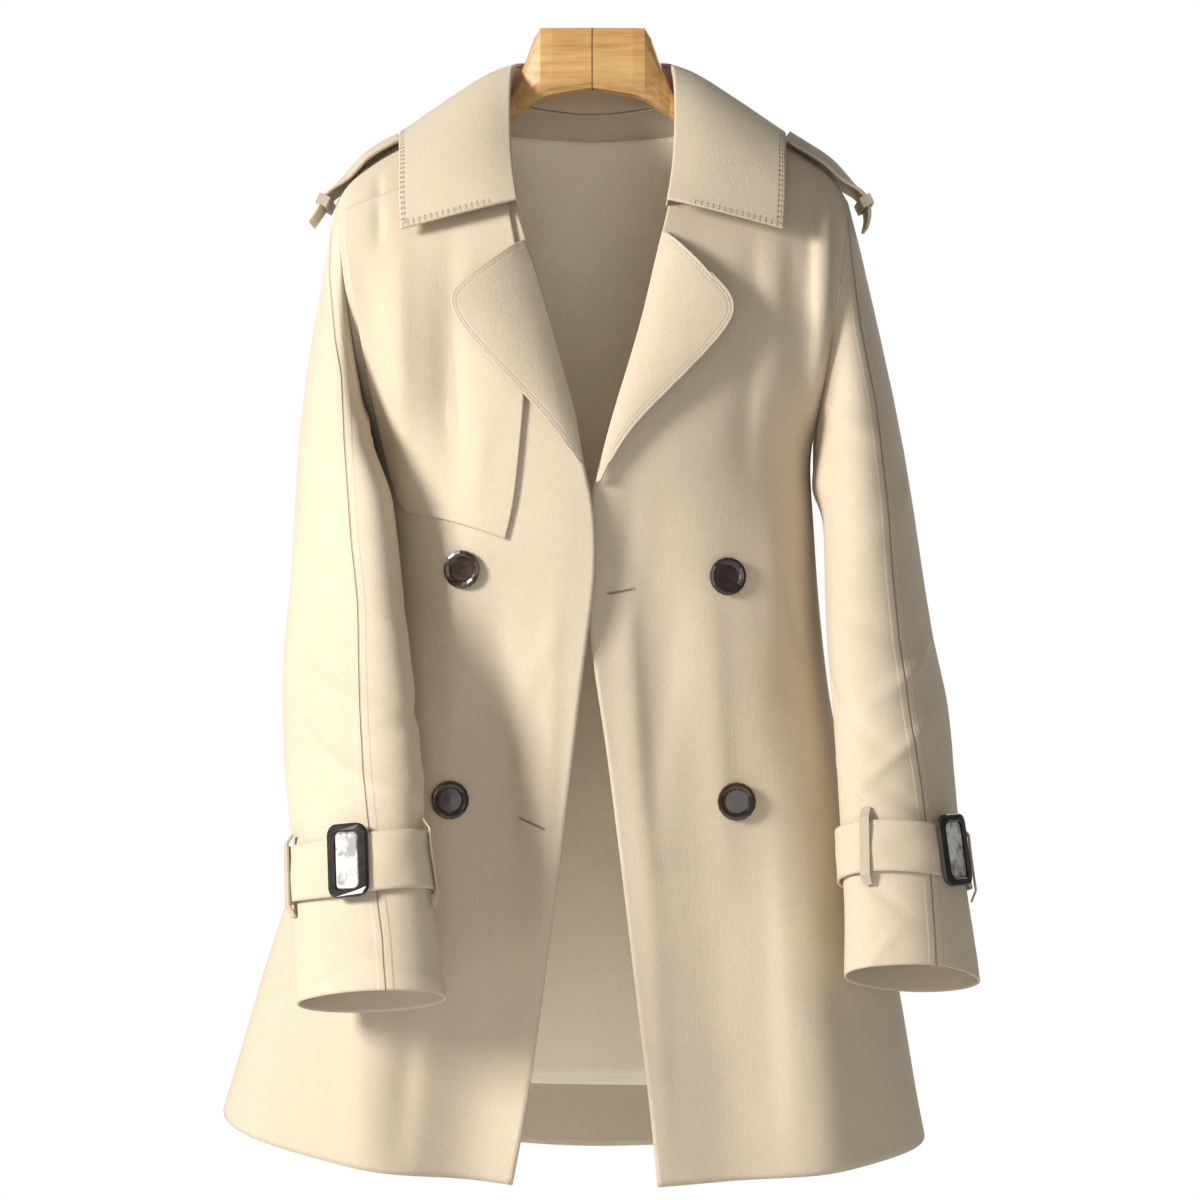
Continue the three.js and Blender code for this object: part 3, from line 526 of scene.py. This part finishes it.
# Lapels
# Each lapel is the front's own cloth with its facing, turned back at the roll line, with a soft roll,
# rounded corners and one row of stitches round the free edge.
def lapel_edge(side, x, z):
    line = LAPEL_LINES[side]
    return abs(beside(line, x, z)) > 4 and z > -325


lapel_twill = twill("lapel_twill", stitch_at=3.2)
LAPEL_LINES = {
    -1: [(-52, -160), (-39, -196), (-29, -232), (-16.5, -277), (-7.5, -318), (-5, -345)],
    1: [(53, -155), (41, -197), (32, -237), (18, -280), (6, -325), (1, -355)],
}
lapel_right = cloth_piece(
    "lapel_right",
    lapel_twill,
    (0, -1, 0),
    thickness=2.4,
    ripple=0.4,
    stitched=lambda x, y, z: lapel_edge(-1, x, z),
)
lapel_left = cloth_piece(
    "lapel_left",
    lapel_twill,
    (0, -1, 0),
    thickness=2.4,
    ripple=0.4,
    stitched=lambda x, y, z: lapel_edge(1, x, z),
)


# Collar
# A stand rises from the neckline to the fold, and a broad leaf turns down over it, stiffened
# between two layers of twill, with a row of short stitches inside its edge.
stand = cloth_piece("collar_stand", coat_twill, thickness=1.4, ripple=0.2, levels=2, stitched=nowhere)
collar_twill = twill("collar_twill", stitch_at=3.0, thread=0.2, pick=0.4)
leaf = cloth_piece(
    "collar_leaf",
    collar_twill,
    (0, -0.2, 1),
    thickness=2.4,
    ripple=0.5,
    stitched=lambda x, y, z: abs(x) > 72 or y > 50,
)


# Sleeves
# Tubes of twill set into the armholes, hanging a little forward, with a seam down the front, soft
# folds from the underarm and at the elbow, and an open cuff below the strap.
def sleeve_shape(side):
    rows = [
        (-300, 120, 26, 9, 1.8),
        (-360, 60, -30, 12, 1.6),
        (-450, 100, 18, 11, -1.8),
        (-520, 40, -22, 12, 1.8),
        (-560, 130, 20, 10, 1.6),
        (-660, 80, 10, 14, 1.2),
        (-480, 60, -26, 8, 2.6),
        (-505, 150, 30, 9, -2.4),
        (-545, 95, -34, 6, 2.0),
        (-590, 30, 24, 7, -2.4),
        (-607, 95, -22, 6, 2.2),
        (-622, 130, 26, 6, -2.0),
        (-690, 140, -30, 7, 2.0),
        (-702, 60, 24, 7, -1.6),
    ]

    def shape(x, y, z):
        middle_x, middle_y = side * (180 if side < 0 else 210), -20 + (z + 250) * 0.25
        turn = atan2(-(y - middle_y), side * (x - middle_x)) * 180 / pi
        height = 0.0
        for row_z, row_turn, slope, width, lift in rows:
            line = row_z + slope * (turn - row_turn) / 60
            height += lift * exp(-(((z - line) / width) ** 2)) * exp(-(((turn - row_turn) / 55) ** 2))
        return height

    return shape


SEAM_RIGHT = [
    (-193, -128), (-194, -160), (-193, -190), (-186, -240), (-180.5, -266), (-176, -330),
    (-171, -390), (-166, -430), (-164, -473), (-161.5, -517),
    (-159, -546), (-154.5, -582), (-148, -632), (-144, -660), (-140, -712),
]
SEAM_LEFT = [
    (188, -135), (189, -155), (190.5, -180), (196, -230), (206, -285), (210, -330),
    (212.5, -358), (215.5, -414), (219, -455), (223, -488), (227, -520),
    (232, -553), (235, -581), (238, -622), (240.5, -665), (242, -712),
]
sleeve_right = cloth_piece(
    "sleeve_right", coat_twill, shape=sleeve_shape(-1), stitched=nowhere, seam=SEAM_RIGHT
)
sleeve_left = cloth_piece(
    "sleeve_left", coat_twill, shape=sleeve_shape(1), stitched=nowhere, seam=SEAM_LEFT
)


# Sleeve straps
# A band of doubled twill goes round each sleeve above the cuff, through its loops and its buckle,
# and is creased where it was pulled tight.
strap_twill = twill("strap_twill", stitch_at=2.5, thread=0.15)


def strap_shape(x, y, z):
    """Slack creases that run slantwise across the strap where it was pulled through the buckle."""
    slow = sin((abs(x) * 0.9 + z * 0.5) / 7.5) + 0.6 * sin((abs(x) * 0.5 - z * 0.9) / 4.6 + 1)
    return 0.55 * slow


for side, area in (("right", 0.0148), ("left", 0.015)):
    strap = cloth_piece(
        f"sleeve_strap_{side}",
        strap_twill,
        levels=3,
        thickness=1.8,
        ripple=0.8,
        shape=strap_shape,
        stitched=nowhere,
    )


# Epaulettes, keepers and loops
# Stiff straps of doubled twill stand over the shoulder tips, sewn in by the collar, each through a
# narrow keeper. The keepers and the sleeves' loops are narrow folded strips of the same twill.
for side in ("right", "left"):
    epaulette = cloth_piece(
        f"epaulette_{side}", strap_twill, (0, 0, 1), thickness=2.4, ripple=0.3, stitched=nowhere
    )

small_twill = twill("small_twill", stitch_at=40)
for name in nodes:
    if "loop" in name or "keeper" in name:
        finish_node(name, small_twill)


# Buttons and buckles
# Turned and polished horn buttons with a raised rim are sewn to the fronts. The buckles are moulded,
# near-black and glossy, each with a pale marbled bar in its window.
def horn():
    finish = Finish("dark_horn", Roughness=0.24, Coat_Roughness=0.1, IOR=1.52)
    finish.shader.inputs["Coat Weight"].default_value = 0.6
    place = finish.place()
    streaks = finish.noise(finish.stretched(place, 1, 1, 3), 70, 4, 0.6)
    tone = finish.mix(streaks.step(0.4, 0.7), (0.014, 0.007, 0.004, 1), (0.05, 0.024, 0.012, 1))
    return finish.set(Base_Color=tone)


def black():
    finish = Finish("buckle_black", Coat_Roughness=0.15, IOR=1.5)
    place = finish.place()
    haze = finish.noise(place, 120, 3)
    tone = finish.mix(haze.step(0.3, 0.8), (0.012, 0.010, 0.009, 1), (0.03, 0.024, 0.02, 1))
    return finish.set(Base_Color=tone, Roughness=0.22 + haze * 0.16)


def pearl():
    finish = Finish("pale_bar", Coat_Roughness=0.1, IOR=1.55)
    place = finish.place()
    veins = finish.noise(finish.stretched(place, 1, 1, 0.6), 110, 4, 0.65)
    tone = finish.mix(veins.step(0.42, 0.6), (0.68, 0.67, 0.62, 1), (0.2, 0.19, 0.17, 1))
    return finish.set(Base_Color=tone, Roughness=0.2 + veins * 0.2)


horn_finish, black_finish, pearl_finish = horn(), black(), pearl()
for name in nodes:
    if name.startswith("button"):
        finish_node(name, horn_finish)
    if name.startswith("buckle"):
        finish_node(name, pearl_finish if "bar" in name else black_finish)


# Floor and light
# A plain pale floor well below the hem, and a soft studio: a key light from the left, a weak fill
# from the front and a light behind for the back.
floor_bm = bmesh.new()
bmesh.ops.create_circle(floor_bm, cap_ends=True, segments=64, radius=2.6)
bmesh.ops.translate(floor_bm, verts=floor_bm.verts, vec=(0, 0, -1.45))
floor_mesh = bpy.data.meshes.new("floor")
floor_bm.to_mesh(floor_mesh)
floor_bm.free()
floor = bpy.data.objects.new("floor", floor_mesh)
bpy.context.collection.objects.link(floor)
floor_mesh.materials.append(Finish("floor", Base_Color=(0.9, 0.9, 0.9, 1), Roughness=0.9).made)

world = bpy.data.worlds.new("studio")
bpy.context.scene.world = world
world.use_nodes = True
tree = world.node_tree
background = tree.nodes["Background"]
background.inputs["Color"].default_value = (1, 1, 1, 1)
path = tree.nodes.new("ShaderNodeLightPath")
strength = tree.nodes.new("ShaderNodeMapRange")
strength.inputs["To Min"].default_value = 0.2
strength.inputs["To Max"].default_value = 1.0
tree.links.new(path.outputs["Is Camera Ray"], strength.inputs["Value"])
tree.links.new(strength.outputs["Result"], background.inputs["Strength"])


def area_light(name, place, target, size, power, colour=(1, 1, 1)):
    light = bpy.data.objects.new(name, bpy.data.lights.new(name, "AREA"))
    light.data.size = size
    light.data.energy = power
    light.data.color = colour
    light.location = place
    light.rotation_euler = (Vector(target) - Vector(place)).to_track_quat("-Z", "Y").to_euler()
    bpy.context.collection.objects.link(light)


area_light("key", (-2.2, -1.4, 0.4), (0, 0, -0.42), 0.7, 100, (1.0, 0.99, 0.975))
area_light("fill", (0.3, -2.6, -0.4), (0, 0, -0.55), 1.6, 12)
area_light("back", (0.9, 1.9, 0.6), (0, 0, -0.4), 1.5, 26)
bpy.context.scene.view_settings.view_transform = "Standard"
